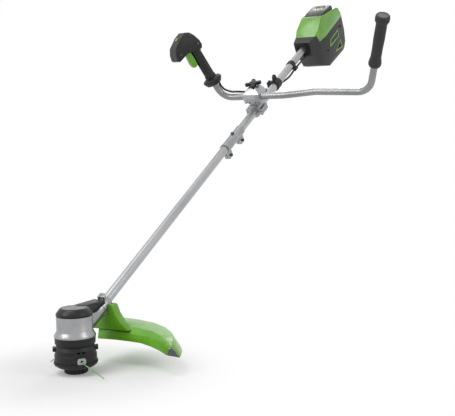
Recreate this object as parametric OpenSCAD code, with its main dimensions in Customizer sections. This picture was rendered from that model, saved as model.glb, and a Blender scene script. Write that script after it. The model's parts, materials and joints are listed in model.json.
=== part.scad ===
// Battery brush cutter with a line head, a bike handlebar and a rear battery housing.
// Origin: the flat underside of the bump knob, on the cutting head's axis. +Z is up along
// that axis, +Y runs back to the battery housing and +X is the operator's left.

/* [Shaft] */
// Rise of the shaft above the ground, degrees
shaft_tilt = 30; // [27:0.5:33]
// Outer diameter of the two shaft tubes
tube_od = 26; // [24:0.5:28]
// Wall of the shaft tubes
tube_wall = 2; // [1.5:0.25:3]
// Shaft station of the joint between the lower and the upper tube
joint_at = 949; // [900:1:1000]
// Length of the coupler sleeve over that joint
sleeve_len = 121; // [100:1:140]
// Wall of the coupler sleeve
sleeve_wall = 2.4; // [2:0.2:4]
// Shaft station of the handlebar clamp
clamp_at = 1145; // [1120:1:1170]
// Shaft station of the harness hanger
hanger_at = 1312; // [1290:1:1330]
// Shaft station of the cable clip
clip_at = 1452; // [1430:1:1470]
// Shaft station of the rear housing's front face
housing_at = 1584; // [1570:1:1620]

/* [Cutting head] */
// Radius of the bump knob
knob_r = 30; // [26:0.5:33]
// Height of the bump knob below the head
knob_h = 16; // [14:0.5:18]
// How far the bump knob pushes in
knob_travel = 6; // [4:0.5:6]
// Grooves round the bump knob
knob_grooves = 18; // [12:1:24]
// Widest radius of the line head
head_r = 55; // [53:0.5:60]
// Height of the top of the line head
head_top = 70; // [68:0.5:70]
// Diameter of the cutting line
line_d = 2.4; // [2:0.1:3]
// Length of line outside each eyelet
line_out = 85; // [70:1:110]

/* [Motor] */
// Radius of the motor housing's wall
motor_r = 45; // [44:0.5:47]
// Wall of the motor housing
motor_wall = 4; // [3:0.5:5]
// Height of the motor housing's lower rim
rim_z = 92; // [90:0.5:94]
// Height of the motor housing's top edge
motor_top = 143; // [141:0.5:150]
// Diameter of the motor spindle
spindle_d = 10; // [8:0.5:12]

/* [Handlebar] */
// Diameter of the handlebar tube
bar_d = 22; // [20:0.5:24]
// Wall of the handlebar tube
bar_wall = 2; // [1.5:0.25:3]
// Height of the handlebar above the shaft's axis at the clamp
bar_rise = 46; // [44:0.5:50]
// Reach from the clamp to the trigger arm's corner
trigger_reach = 116; // [100:1:130]
// Reach from the clamp to the far arm's corner
grip_reach = 409; // [380:1:430]
// Outward lean of the trigger arm, degrees
trigger_lean = 16; // [12:1:20]
// Outward lean of the far arm, degrees
grip_lean = 20; // [14:1:24]
// Distance along the far arm from its corner to the grip
grip_from = 95; // [90:1:110]
// Length of the far grip
grip_len = 173; // [140:1:180]

/* [Rear housing] */
// Width of the rear housing
housing_w = 100; // [94:1:110]
// Wall of the rear housing's shells
shell_wall = 3; // [2.5:0.5:4]
// Length of the battery pack along the shaft
pack_len = 108; // [100:1:110]
// Width of the battery pack
pack_w = 72; // [66:1:76]
// Depth of the battery pack in its bay
pack_h = 96; // [80:1:100]

/* [Fits] */
// Radial clearance of a piece fitted on a tube
fit = 0.1; // [0.05:0.05:0.2]
// Radial clearance of a turning shaft
run = 0.05; // [0.02:0.01:0.1]
// Clearance between surfaces that move past each other
gap = 0.4; // [0.3:0.1:0.6]

/* [Hidden] */
$fn = 48;
tube_id = tube_od - 2 * tube_wall;
axis_z = 81;                       // height where the shaft's axis meets the head's axis
seat_at = 62;                      // shaft station of the lower tube's seat in the neck
neck_d = 36;
collar_from = 118;
collar_to = 150;
collar_d = 40;
upper_tube_end = housing_at + 66;
cap_h = 20;                        // height of the motor cap above the housing
cap_top_r = 33;
bar_r = bar_d / 2;
knob_back = 21;                    // the clamp stud stands this far behind the bar
stud_d = 8;
trigger_end = 138;                 // the bar's end inside the trigger grip
grip_d = 34;
grip_start = 82;
head_at = 200;                     // trigger-arm station of the control head's origin
grip_turn = -30;                   // the trigger grip is turned about its own arm
split_n = -2;                      // the rear shells part at this height above the shaft
tray_wall = 2;
bay_from = 128;                    // front of the battery bay, from the housing's face
bay_floor = -30;
cable_d = 7;
lead_d = 8;
tiny = 0.01;

function unit(v) = v / norm(v);
// A closed outline, given anticlockwise, moved inwards by d
function inset(p, d) = [
  for (i = [0:len(p) - 1])
    let (
      u = unit(p[i] - p[(i + len(p) - 1) % len(p)]),
      v = unit(p[(i + 1) % len(p)] - p[i]),
      nu = [-u.y, u.x],
      nv = [-v.y, v.x]
    )
    p[i] + d * (nu + nv) / (1 + nu * nv)
];

// ---- places ----
// Shaft frame: X across, Y along the shaft to the rear, Z out of its top
module along(station) {
  translate([0, 0, axis_z]) rotate([shaft_tilt, 0, 0]) translate([0, station, 0]) children();
}
// Bar frame: the handlebar's axis at the clamp, X along it and Z up its arms
module on_bar() { along(clamp_at) translate([0, 0, bar_rise]) children(); }
// Arm frames: Z up the arm from its corner
module on_trigger_arm(k) {
  on_bar() translate([-trigger_reach, 0, 0]) rotate([0, -trigger_lean, 0])
    translate([0, 0, k]) children();
}
module on_grip_arm(k) {
  on_bar() translate([grip_reach, 0, 0]) rotate([0, grip_lean, 0])
    translate([0, 0, k]) children();
}
// Control frame: -Y is the way the trigger faces
module on_control() { on_trigger_arm(head_at) rotate([0, 0, grip_turn]) children(); }
module in_housing() { along(housing_at) children(); }

// ---- shapes ----
// A cylinder along Y
module rod(d, from, to) {
  translate([0, from, 0]) rotate([-90, 0, 0]) cylinder(d = d, h = to - from);
}
module pipe(od, id, from, to) {
  difference() {
    rod(od, from, to);
    rod(id, from - 1, to + 1);
  }
}
// A cylinder along X
module cross_rod(d, from, to) {
  translate([from, 0, 0]) rotate([0, 90, 0]) cylinder(d = d, h = to - from);
}
// A cap screw: its head sits on z = 0 and its shank runs down
module screw(d, length) {
  difference() {
    cylinder(d = 1.8 * d, h = d);
    translate([0, 0, 0.45 * d]) cylinder(d = 0.9 * d, h = d, $fn = 6);
  }
  translate([0, 0, -length]) cylinder(d = d, h = length + tiny);
}
// The same, with the head on +X
module cross_screw(d, length) { rotate([0, 90, 0]) screw(d, length); }
// An outline in (y, z), given a width about x = 0
module side_profile(points, width) {
  translate([-width / 2, 0, 0]) rotate([90, 0, 90]) linear_extrude(width) polygon(points);
}
// An outline in (x, z), run from y = from to y = to
module end_profile(points, from, to) {
  translate([0, to, 0]) rotate([90, 0, 0]) linear_extrude(to - from) polygon(points);
}
// Points along a path in the XY plane through p, rounded with radii r at its inner corners
function bent_path(p, r, steps) = [
  p[0],
  for (i = [1:len(p) - 2])
    let (
      a = unit(p[i] - p[i - 1]), b = unit(p[i + 1] - p[i]),
      turn = acos(a * b), side = sign(a.x * b.y - a.y * b.x),
      start = p[i] - r[i - 1] * tan(turn / 2) * a,
      left = side * [-a.y, a.x], centre = start + r[i - 1] * left
    )
    for (k = [0:steps])
      centre + r[i - 1] * (sin(turn * k / steps) * a - cos(turn * k / steps) * left),
  p[len(p) - 1]
];
// A round cord swept through points, one ring of sides at each
module cord(points, d, sides = 10, up = [0, 0.3, 1]) {
  n = len(points);
  function way(i) = unit(points[min(i + 1, n - 1)] - points[max(i - 1, 0)]);
  function across(i) = unit(cross(way(i), up));
  rings = [
    for (i = [0:n - 1])
      let (u = across(i), v = cross(way(i), u))
      for (k = [0:sides - 1])
        points[i] + d / 2 * (cos(360 * k / sides) * u + sin(360 * k / sides) * v)
  ];
  walls = [
    for (i = [0:n - 2]) for (k = [0:sides - 1])
      let (a = i * sides, k2 = (k + 1) % sides)
      each [[a + k, a + sides + k2, a + k2], [a + k, a + sides + k, a + sides + k2]]
  ];
  first = [for (k = [0:sides - 1]) k];
  last = [for (k = [sides - 1:-1:0]) (n - 1) * sides + k];
  polyhedron(rings, [each walls, first, last], convexity = 6);
}
// Points of a Catmull-Rom curve through p, with steps to each span
function curve(p, steps) = [
  for (i = [0:len(p) - 2]) for (k = [0:steps - 1])
    let (
      t = k / steps,
      a = p[max(i - 1, 0)], b = p[i], c = p[i + 1], e = p[min(i + 2, len(p) - 1)]
    )
    0.5 * (2 * b + t * (c - a) + t * t * (2 * a - 5 * b + 4 * c - e)
      + t * t * t * (3 * b - a - 3 * c + e)),
  p[len(p) - 1]
];

// ---- cutting head ----
knob_hole_r = knob_r + gap;
head_split = 31;
head_wall = 3.5;
head_band_r = head_r - 2.5;
eyelet_turns = [-36, 144];
spool_floor = knob_h + knob_travel + 1.5;
spool_top = 56;
spool_hub_r = 22;
knob_plug_r = 17;

module bump_knob() color("#2b2b2d") difference() {
  union() {
    rotate_extrude() polygon([
      [0, 0], [knob_r - 3, 0], [knob_r, 3], [knob_r, knob_h - 1], [knob_plug_r, knob_h - 1],
      [knob_plug_r, knob_h + 5], [0, knob_h + 5]
    ]);
  }
  for (i = [0:knob_grooves - 1]) rotate([0, 0, i * 360 / knob_grooves])
    translate([knob_r + 0.6, 0, 2]) cylinder(d = 5, h = knob_h - 4.5);
}
// The coil spring takes up the knob's travel, so it stands as a sleeve
module bump_spring() color("#9a9a9a") translate([0, 0, knob_h + 5]) difference() {
  cylinder(r = 13, h = spool_top - 12 - knob_h - 5);
  translate([0, 0, -1]) cylinder(r = 10.5, h = 40);
}
module spool() color("#3a3a3c") rotate_extrude() polygon([
  [spool_hub_r - 4, spool_floor], [44, spool_floor], [44, spool_floor + 2.5],
  [spool_hub_r, spool_floor + 2.5], [spool_hub_r, 38], [44, 38], [44, 40],
  [spool_hub_r, 40], [spool_hub_r, spool_top - 2.5], [44, spool_top - 2.5], [44, spool_top],
  [spindle_d / 2 + 2 + run, spool_top], [spindle_d / 2 + 2 + run, spool_top - 12],
  [spool_hub_r - 4, spool_top - 12]
]);
module head_lower_cap() color("#2f2f31") difference() {
  rotate_extrude() polygon([
    [knob_hole_r, knob_h + 0.5], [head_r - 10, knob_h + 0.5], [head_r - 2, knob_h + 6],
    [head_r, knob_h + 10], [head_r, head_split - 0.8], [head_r - head_wall, head_split - 0.8],
    [head_r - head_wall, knob_h + 10], [head_r - 11, knob_h + 3.5], [knob_hole_r, knob_h + 3.5]
  ]);
  for (i = [0:11]) rotate([0, 0, i * 30 + 15])
    translate([head_r + 2.4, 0, knob_h]) cylinder(d = 6, h = 14);
}
module head_body() color("#303032") difference() {
  union() {
    rotate_extrude() polygon([
      [head_band_r, head_split - 0.8], [head_band_r, 48], [head_band_r - 1.5, 49],
      [head_band_r - 1.5, 61], [head_band_r - 6, head_top], [spindle_d / 2 + run, head_top],
      [spindle_d / 2 + run, 57], [12, 57], [12, head_top - 4], [head_band_r - 8, head_top - 4],
      [head_band_r - 5, 60], [head_band_r - 4.5, head_split - 0.8]
    ]);
    for (a = [39, 219]) rotate([0, 0, a]) translate([head_band_r - 4, -11, 57])
      cube([7.5, 22, 9]);
  }
  for (a = eyelet_turns) rotate([0, 0, a]) {
    translate([0, 0, 38]) cross_rod(11, head_band_r - 8, head_band_r + 4);
    for (y = [-10, 2]) translate([head_band_r - 9, y, 56]) cube([12, 8, 5]);
  }
}
module line_eyelets() color("#b9babb") for (a = eyelet_turns) rotate([0, 0, a])
  translate([0, 0, 38]) difference() {
    union() {
      cross_rod(11 - 2 * fit, head_band_r - 6, head_band_r + 1);
      intersection() {
        translate([head_band_r + 0.2, 0, 0]) rotate([0, 90, 0]) cylinder(d = 22, h = 2.2);
        translate([head_band_r - 2, -11, -7]) cube([8, 22, 15]);
      }
    }
    cross_rod(6.5, head_band_r - 8, head_band_r + 4);
  }
// Each line leaves its eyelet straight out, then trails to one side and droops
line_points = [[46, 0, 38], [56, 0, 37], [72, 5, 32], [90, 16, 23], [107, 30, 12], [114, 37, 5]];
line_scale = line_out / 85;
module cutting_lines() color("#5c9e3a") for (a = eyelet_turns) rotate([0, 0, a])
  cord([for (q = line_points) [46 + (q.x - 46) * line_scale, q.y * line_scale, q.z]], line_d, 8);

// ---- motor ----
ring_wall = 4;
rotor_r = 24;
stator_from = 104;
stator_to = 132;
inner_r = motor_r - motor_wall;

module spindle() color("#a8a9ab") union() {
  translate([0, 0, 58]) cylinder(d = spindle_d, h = motor_top + 8 - 58);
  translate([0, 0, 50]) cylinder(d = spindle_d + 4, h = 7);
  translate([0, 0, 56]) cylinder(d = spindle_d, h = 4);
}
module rotor() color("#77787a") difference() {
  translate([0, 0, stator_from]) cylinder(r = rotor_r - 3, h = stator_to - stator_from);
  translate([0, 0, stator_from - 1]) cylinder(d = spindle_d, h = 40);
}
module rotor_magnets() color("#4d4f52") difference() {
  translate([0, 0, stator_from]) cylinder(r = rotor_r, h = stator_to - stator_from);
  translate([0, 0, stator_from - 1]) cylinder(r = rotor_r - 3, h = 40);
}
module motor_base_ring() color("#2c2c2e") rotate_extrude() polygon([
  [spindle_d / 2 + 8 + fit, 73], [spindle_d / 2 + 8 + fit, 81], [20, 81], [22, 76],
  [48 - ring_wall, 76], [51 - ring_wall, rim_z], [51, rim_z], [50.4, 76], [48, 71.5],
  [44, 71.5], [42, 73]
]);
module stator() color("#8a8178") difference() {
  translate([0, 0, stator_from]) cylinder(r = inner_r, h = stator_to - stator_from);
  translate([0, 0, stator_from - 1]) cylinder(r = rotor_r + 0.6, h = 40);
  for (i = [0:11]) rotate([0, 0, i * 30]) translate([rotor_r + 2.5, -2.5, stator_from - 1])
    cube([11, 5, 40]);
}
module windings() color("#b5692f") for (i = [0:11]) rotate([0, 0, i * 30 + 15])
  for (z = [stator_from - 3.5, stator_to]) translate([rotor_r + 3, -5, z]) cube([9, 10, 3.5]);
module motor_bearings() color("#c2c3c5") for (z = [73, motor_top - 7])
  translate([0, 0, z]) difference() {
    cylinder(d = spindle_d + 16, h = 7);
    translate([0, 0, -1]) cylinder(r = spindle_d / 2 + run, h = 9);
    for (t = [-1, 6.4]) translate([0, 0, t]) difference() {
      cylinder(d = spindle_d + 12, h = 1.6);
      translate([0, 0, -1]) cylinder(d = spindle_d + 4, h = 4);
    }
  }
module motor_housing() color("#a9abad") difference() {
  union() {
    rotate_extrude() polygon([
      [0, rim_z], [52, rim_z], [52, rim_z + 3], [motor_r + 2, rim_z + 12],
      [motor_r, rim_z + 15], [motor_r, motor_top], [0, motor_top]
    ]);
    along(0) rod(neck_d, 30, 122);
    along(0) rod(collar_d, collar_from, collar_to);
    hull() {
      translate([-15, 38, 96]) cube([30, 4, 44]);
      along(0) rod(neck_d - 2, 84, 96);
    }
    along(0) translate([-7, collar_to - 16, 12]) cube([14, 16, 15]);
  }
  rotate_extrude() polygon([
    [0, rim_z - 1], [47.2, rim_z - 1], [47.2, rim_z + 3], [inner_r, rim_z + 11],
    [inner_r, motor_top - 7], [spindle_d / 2 + 8 + fit, motor_top - 7],
    [spindle_d / 2 + 8 + fit, motor_top + 1], [0, motor_top + 1]
  ]);
  along(0) rod(tube_od + 2 * fit, seat_at, collar_to + 1);
  along(0) rod(lead_d + 3, 36, seat_at + 1);
  along(0) translate([-1, collar_to - 17, 10]) cube([2, 18, 20]);
  along(0) translate([0, collar_to - 8, 21]) {
    cross_rod(5.4, -20, 20);
    cross_rod(9.8, 7, 20);
  }
  translate([-60, -60, 40]) cube([120, 180, rim_z - 40]);
  for (a = [45, 165, 285]) rotate([0, 0, a]) translate([37, 0, motor_top - 8])
    cylinder(d = 4.2, h = 12);
}
module motor_cap() color("#2a2a2c") difference() {
  union() {
    rotate_extrude() polygon([
      [0, motor_top + tiny], [motor_r, motor_top + tiny], [motor_r + 0.8, motor_top + 3],
      [motor_r + 0.4, motor_top + 7], [cap_top_r + 3, motor_top + cap_h - 1],
      [cap_top_r + 1, motor_top + cap_h], [cap_top_r - 1, motor_top + cap_h - 1.2],
      [0, motor_top + cap_h - 1.2]
    ]);
    side_profile([
      [18, motor_top + 3], [motor_r + 2, motor_top + 1], [60, motor_top - 1], [106, 155],
      [103, 165], [24, 164.5]
    ], 34);
  }
  rotate_extrude() polygon([
    [0, motor_top - 1], [motor_r - 4, motor_top - 1], [motor_r - 4, motor_top + 6],
    [cap_top_r - 4, motor_top + cap_h - 5], [0, motor_top + cap_h - 5]
  ]);
  along(0) rod(neck_d + 2 * gap, 20, collar_from);
  along(0) rod(collar_d + 2 * gap, collar_from - gap, collar_to);
  hull() {
    translate([-16, 38, 96]) cube([32, 4, 44 + gap]);
    along(0) rod(neck_d - 2 + 2 * gap, 84, 96);
  }
}
module housing_screws() color("#5b5c5e") {
  for (a = [45, 165, 285]) rotate([0, 0, a]) translate([37, 0, motor_top]) screw(4, 7);
  along(0) translate([7, collar_to - 8, 21]) cross_screw(5, 18);
}

// ---- guard ----
// Stations round the head: angle, then the lip, the two ridges, the rim and the skirt's
// foot as radius and height
guard_stations = [
  [98, [111, 60], [119, 84], [150, 97], [241, 90], [262, 50]],
  [85, [110, 61], [118, 83], [148, 96], [241, 88], [262, 49]],
  [70, [117, 62], [125, 82], [155, 94], [241, 87], [262, 48]],
  [55, [134, 62], [142, 81], [168, 92], [241, 85], [263, 47]],
  [42, [163, 61], [171, 79], [192, 90], [242, 83], [264, 47]],
  [32, [187, 58], [194, 76], [210, 86], [243, 81], [265, 46]],
  [24, [211, 54], [216, 72], [225, 80], [244, 77], [266, 46]],
  [17, [235, 50], [238, 66], [242, 72], [248, 70], [268, 45]]
];
guard_wall = 3;
guard_half = 30;                   // reach of its root block beside the neck
guard_screw_at = [130, 142];
// The inner side of one station's outline
function guard_inner(s) = [
  [s[5].x - guard_wall, s[5].y], [s[4].x - guard_wall, s[4].y - guard_wall],
  [s[3].x, s[3].y - guard_wall], [s[2].x + guard_wall, s[2].y - guard_wall],
  [s[1].x + guard_wall, s[1].y]
];
function guard_ring(s) = [
  for (q = [s[1], s[2], s[3], s[4], s[5], each guard_inner(s)])
    [q.x * cos(s[0]), q.x * sin(s[0]), q.y]
];
module guard_shell() {
  n = len(guard_stations);
  points = [for (s = guard_stations) each guard_ring(s)];
  walls = [
    for (i = [0:n - 2]) for (k = [0:9])
      let (a = i * 10, j = (k + 1) % 10)
      each [[a + k, a + j, a + 10 + j], [a + k, a + 10 + j, a + 10 + k]]
  ];
  // The outline's two sides pair up, so its end is four plain quads
  ends = [
    for (k = [0:3]) each [
      [k, 9 - k, 8 - k], [k, 8 - k, k + 1],
      [(n - 1) * 10 + k, (n - 1) * 10 + k + 1, (n - 1) * 10 + 8 - k],
      [(n - 1) * 10 + k, (n - 1) * 10 + 8 - k, (n - 1) * 10 + 9 - k]
    ]
  ];
  polyhedron(points, [each walls, each ends], convexity = 8);
}
module guard() color("#6bb125") difference() {
  union() {
    guard_shell();
    end_profile([
      [-guard_half, 86], [80, 88], [56, 108], [40, 128], [31, 150], [26, 152], [-24, 152],
      [-guard_half, 146]
    ], 112, 138);
  }
  along(0) rod(collar_d + 2 * fit, 90, 175);
  along(0) translate([-collar_d / 2 - fit, 90, 0]) cube([collar_d + 2 * fit, 85, 60]);
  along(0) for (y = guard_screw_at) translate([0, y, -8]) cross_rod(5.2, -60, 0);
}
module guard_screws() color("#6f7072") along(0) {
  for (y = guard_screw_at) mirror([1, 0, 0]) translate([guard_half, y, -8])
    cross_screw(5, 10);
}
module line_cutter() color("#b4b6b8") rotate([0, 0, 17]) translate([0, -1.6, 0])
  rotate([90, 0, 0]) mirror([0, 0, 1]) linear_extrude(1.6)
    polygon([[238, 50], [266, 46], [258, 60], [250, 68], [241, 66]]);

// ---- shaft ----
sleeve_from = joint_at - sleeve_len / 2;
sleeve_to = joint_at + sleeve_len / 2;
sleeve_od = tube_od + 2 * (fit + sleeve_wall);
lug_at = [sleeve_from + 11, sleeve_to - 21];
locator_at = joint_at + 8;
lug_drop = 27;

module lower_tube() color("#c9cbcd") along(0)
  pipe(tube_od, tube_id, seat_at, joint_at - 0.5);
module upper_tube() color("#c9cbcd") along(0) difference() {
  pipe(tube_od, tube_id, joint_at + 0.5, upper_tube_end);
  translate([0, locator_at, 5]) cylinder(d = 8.2, h = 12);
}
module coupler_sleeve() color("#b3b5b7") along(0) difference() {
  union() {
    rod(sleeve_od, sleeve_from, sleeve_to);
    rod(sleeve_od + 3, sleeve_from, sleeve_from + 6);
    for (y = lug_at) translate([-9, y - 11, -36]) cube([18, 22, 26]);
  }
  rod(tube_od + 2 * fit, sleeve_from - 1, sleeve_to + 1);
  translate([-1, sleeve_from - 1, -40]) cube([2, sleeve_len + 2, 36]);
  for (y = lug_at) translate([0, y, -lug_drop]) cross_rod(5.2, -20, 20);
  translate([0, locator_at, 10]) cylinder(d = 8.2, h = 12);
}
module coupler_locator() color("#3b3c3e") along(locator_at) union() {
  translate([0, 0, tube_id / 2 - 1]) cylinder(d = 8, h = sleeve_od / 2 - tube_id / 2 + 1 + tiny);
  translate([0, 0, sleeve_od / 2]) cylinder(d = 12, h = 4);
}

// ---- handlebar clamp ----
base_d = tube_od + 18;
base_half = 22;                    // half its length along the shaft
strap_bolt_x = tube_od / 2 + 9;
plate_top = -1;                    // the plate and the cap meet just under the bar's axis
cap_front = -17;
cap_back = 34;
cap_half = 31;
strap_gap = 1.5;

module clamp_block(from, to) {
  translate([-strap_bolt_x - 8, -base_half, from]) cube([2 * strap_bolt_x + 16, 2 * base_half, to - from]);
}
module bar_clamp_base() color("#b9bbbd") along(clamp_at) difference() {
  union() {
    rod(base_d, -base_half, base_half);
    clamp_block(strap_gap / 2, 9);
    translate([-14, cap_front + 2, 10]) cube([28, cap_back - cap_front - 4, bar_rise - 24]);
    translate([-cap_half + 1, cap_front + 1, bar_rise - 18])
      cube([2 * cap_half - 2, cap_back - cap_front - 2, 18 + plate_top]);
  }
  rod(tube_od + 2 * fit, -60, 60);
  translate([-60, -60, -60]) cube([120, 120, 60 + strap_gap / 2]);
  translate([0, 0, bar_rise]) cross_rod(bar_d + 2 * run, -60, 60);
  translate([0, knob_back, 16]) cylinder(d = stud_d, h = 60);
  for (x = [-1, 1]) for (y = [-13, 13]) translate([x * strap_bolt_x, y, -20])
    cylinder(d = 5.2, h = 40);
  for (x = [-20, -10, 10, 20]) translate([x - 2.5, cap_front - 1, bar_rise - 19])
    cube([5, 5, 7]);
}
module bar_clamp_strap() color("#adafb1") along(clamp_at) difference() {
  union() {
    rod(base_d, -base_half, base_half);
    clamp_block(-10, -strap_gap / 2);
  }
  rod(tube_od + 2 * fit, -60, 60);
  translate([-60, -60, -strap_gap / 2]) cube([120, 120, 60]);
  for (x = [-1, 1]) for (y = [-13, 13]) translate([x * strap_bolt_x, y, -20]) {
    cylinder(d = 5.2, h = 40);
    cylinder(d = 10, h = 10);
  }
}
module bar_clamp_cap() color("#c6c8ca") on_bar() difference() {
  union() {
    end_profile([
      [-cap_half, plate_top], [cap_half, plate_top], [cap_half, 12], [cap_half - 6, 20],
      [14, 30], [-14, 30], [-cap_half + 6, 20], [-cap_half, 12]
    ], cap_front, cap_back);
  }
  side_profile([[cap_front - 1, 14], [cap_front - 1, 32], [cap_front + 18, 32]], 80);
  side_profile([[cap_back + 1, 10], [cap_back + 1, 32], [cap_back - 4, 32]], 80);
  cross_rod(bar_d + 2 * run, -60, 60);
  translate([0, knob_back, 15]) cylinder(r = 13, h = 30);
  translate([0, knob_back, -10]) cylinder(d = stud_d + 1, h = 60);
}
module clamp_stud() color("#8c8d8f") on_bar() translate([0, knob_back, -bar_rise + 16])
  cylinder(d = stud_d, h = bar_rise - 16 + 26);
module star_knob() color("#262628") on_bar() translate([0, knob_back, 0]) difference() {
  union() {
    translate([0, 0, 15 + gap]) cylinder(r = 8, h = 20);
    translate([0, 0, 31]) cylinder(r = 13, h = 11);
    for (i = [0:3]) rotate([0, 0, i * 90 + 20]) {
      translate([0, -5.5, 32]) cube([20, 11, 9]);
      translate([21, 0, 32]) cylinder(r = 6.5, h = 9);
    }
  }
  translate([0, 0, 10]) cylinder(r = stud_d / 2 + run, h = 17);
}
// Bolts of the coupler lugs, the hanger and the tube clamp
module clamp_screws() color("#4b4c4e") {
  along(0) for (y = lug_at) translate([9, y, -lug_drop]) {
    cross_screw(5, 20);
    translate([-22, 0, 0]) rotate([0, 90, 0]) cylinder(d = 9, h = 4, $fn = 6);
  }
  along(clamp_at) for (x = [-1, 1]) for (y = [-13, 13]) translate([x * strap_bolt_x, y, -10])
    rotate([180, 0, 0]) screw(5, 18);
  along(hanger_at) translate([-boss_x + 1, 0, boss_z + 9]) screw(4, 16);
}

// ---- handlebar ----
bar_straight = 55;                 // half the stretch that turns in the clamp
bar_end = grip_from + grip_len - 6;
trigger_arm_path = [
  [-bar_straight + 2, 0], [-trigger_reach, 0],
  [-trigger_reach - trigger_end * sin(trigger_lean), trigger_end * cos(trigger_lean)]
];
far_arm_path = [
  [bar_straight - 2, 0], [trigger_reach, 0], [trigger_reach + 110, 9], [grip_reach, 0],
  [grip_reach + bar_end * sin(grip_lean), bar_end * cos(grip_lean)]
];
// The bent arms are a hair slimmer than the middle stretch, so that they root inside its wall
module bar_arm(path, bends) {
  way = [for (q = bent_path(path, bends, 6)) [q.x, q.y, 0]];
  start = way[0] - unit(way[1] - way[0]);
  end = way[len(way) - 1] + unit(way[len(way) - 1] - way[len(way) - 2]);
  difference() {
    cord(way, bar_d - 0.1, 20, [0, 0, 1]);
    cord([start, each [for (k = [1:len(way) - 2]) way[k]], end], bar_d - 2 * bar_wall + 1, 12,
      [0, 0, 1]);
  }
}
module handlebar() color("#8f9193") on_bar() union() {
  difference() {
    cross_rod(bar_d, -bar_straight, bar_straight);
    cross_rod(bar_d - 2 * bar_wall, -bar_straight - 1, bar_straight + 1);
  }
  rotate([90, 0, 0]) {
    bar_arm(trigger_arm_path, [50]);
    bar_arm(far_arm_path, [90, 90, 55]);
  }
}
grip_bore = bar_r + fit;
module far_grip() color("#2d2d2f") on_grip_arm(grip_from) difference() {
  rotate_extrude() polygon([
    [grip_bore, 0], [17, 0], [19.6, 5], [20, 12], [18.4, 22], [16.6, 30], [16.4, 60],
    [17.4, 95], [17.2, 125], [17, 143], [18.6, 148], [22, 154], [22.5, 162],
    [21.5, grip_len - 3], [19, grip_len], [16.7, grip_len], [16.7, grip_len - 3],
    [grip_bore, grip_len - 3]
  ]);
  for (i = [0:9]) translate([0, 0, 34 + i * 11]) rotate_extrude()
    translate([18.3, 0]) circle(d = 2.6, $fn = 16);
}
module grip_end_cap() color("#6e6f71") on_grip_arm(grip_from + grip_len - 3)
  difference() {
    cylinder(r = 16.6, h = 2.6);
    translate([0, 0, 1.8]) cylinder(r = 13.5, h = 2);
  }
module hand_flange() color("#2e2e30") on_trigger_arm(0) difference() {
  rotate_extrude() polygon([
    [grip_bore, 56], [22, 56], [26, 58], [33, 70], [33, 74], [30, 77], [19, grip_start - 0.2],
    [grip_bore, grip_start - 0.2]
  ]);
  rotate([0, 0, 60]) translate([17.5, 0, 50]) cylinder(d = cable_d + 2 * fit, h = 9);
}

// ---- trigger grip and control head ----
head_half = 26;
head_outline = [
  [16, -14], [22, -4], [22, 12], [14, 36], [4, 52], [-8, 59], [-30, 53], [-64, 34],
  [-76, 16], [-81, -3], [-76, -10], [-37, -2], [-17, -8]
];
head_hollow = [
  [9, -6], [18, 2], [18, 12], [10, 34], [1, 48], [-9, 54.5], [-28, 49], [-61, 31],
  [-72, 14], [-76, -2], [-73, -5], [-39, 3], [-16, -3]
];
pin_y = -27;
pin_z = 7;
trigger_half = 7;
lock_z = -22;
panel_y = -36;
panel_z = 50.3;
panel_slope = atan2(19, 34);

module control_outer() {
  side_profile(head_outline, 2 * head_half);
  translate([0, 0, grip_start - head_at]) cylinder(d = grip_d, h = head_at - grip_start - 4);
  translate([0, 0, grip_start - head_at]) cylinder(d = grip_d + 4, h = 8);
}
module control_half(from) difference() {
  intersection() {
    control_outer();
    translate([from, -100, -130]) cube([40, 140, 200]);
  }
  side_profile(head_hollow, 2 * head_half - 7);
  translate([0, 0, trigger_end - head_at + 1]) cylinder(d = grip_d - 7, h = head_at - trigger_end - 4);
  translate([0, 0, grip_start - head_at - 1]) cylinder(r = grip_bore, h = trigger_end - grip_start + 4);
  // slot of the trigger, window of the lock-off lever and hole of the power button
  translate([-trigger_half - gap, -45, -64]) cube([2 * (trigger_half + gap), 38, 70]);
  translate([-5 - gap, 6, lock_z - gap]) cube([10 + 2 * gap, 20, 20 + 2 * gap]);
  on_panel() translate([-7 - gap, -5 - gap, -8]) cube([14 + 2 * gap, 10 + 2 * gap, 14]);
}
module on_panel() { translate([0, panel_y, panel_z]) rotate([panel_slope, 0, 0]) children(); }
module control_shell_inner() color("#333335") on_control() control_half(0);
module control_shell_outer() color("#333335") on_control() control_half(-40);
control_screw_spots = [[-62, 8], [0, 46], [10, 6]];
module control_screws() color("#777879") on_control()
  for (q = control_screw_spots) translate([head_half, q.x, q.y]) cross_screw(3.5, 0);
module trigger_pin() color("#a0a1a3") on_control() translate([0, pin_y, pin_z])
  cross_rod(4, -head_half + 3.5, head_half - 3.5);
module trigger() color("#6bb125") on_control() difference() {
  side_profile([
    [pin_y + 6, pin_z + 5], [pin_y - 5, pin_z + 5], [pin_y - 9, -1], [-39, -20], [-41, -42],
    [-38, -56], [-31, -60], [-20, -56], [-18.5, -30], [-20, 0]
  ], 2 * trigger_half);
  translate([0, pin_y, pin_z]) cross_rod(4 + 2 * run, -20, 20);
}
module lock_off() color("#6bb125") on_control() union() {
  translate([-5, 8, lock_z]) cube([10, 12.5, 20]);
  translate([-8, 8, lock_z - 3]) cube([16, 2.5, 26]);
}
module microswitch() color("#1f1f21") on_control() union() {
  translate([-6, pin_y - 22, 6]) cube([12, 12, 9]);
  translate([-head_half + 3.5, pin_y - 20, 8]) cube([2 * head_half - 7, 8, 3]);
}
module power_button() color("#59b02a") on_control() on_panel() union() {
  translate([-7, -5, -6]) cube([14, 10, 8]);
  translate([-9, -7, -7.4]) cube([18, 14, 1.6]);
}

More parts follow.
